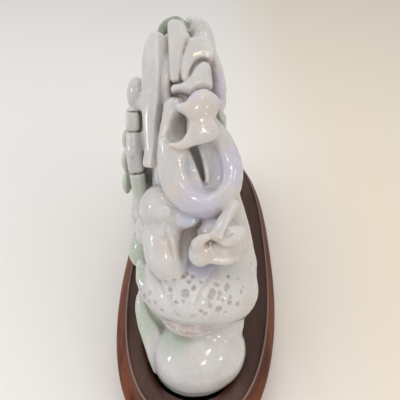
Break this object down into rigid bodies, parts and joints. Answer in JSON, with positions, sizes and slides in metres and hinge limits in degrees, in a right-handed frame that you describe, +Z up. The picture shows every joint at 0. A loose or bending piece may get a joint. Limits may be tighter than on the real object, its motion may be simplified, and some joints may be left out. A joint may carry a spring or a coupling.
{
  "type": "jade dragon carving",
  "caption": "Pale lavender and green jade carving of a dragon coiled over a rock with clouds and bamboo, on an oval dark hardwood stand.",
  "frame": {"origin": "on the ground, under the middle of the stand", "axes": "+Z up; +Y along the carving from its coiled near end to the dragon's head; X across its thickness"},
  "size_m": [0.09, 0.244, 0.1635],
  "materials": {
    "jade": "highly polished, slightly translucent, pale lavender-white with green areas",
    "stand_wood": "dark red-brown hardwood under a glossy lacquer"
  },
  "bodies": {
    "root": {"jade_carving": "jade", "wood_stand": "stand_wood"}
  },
  "joints": []
}
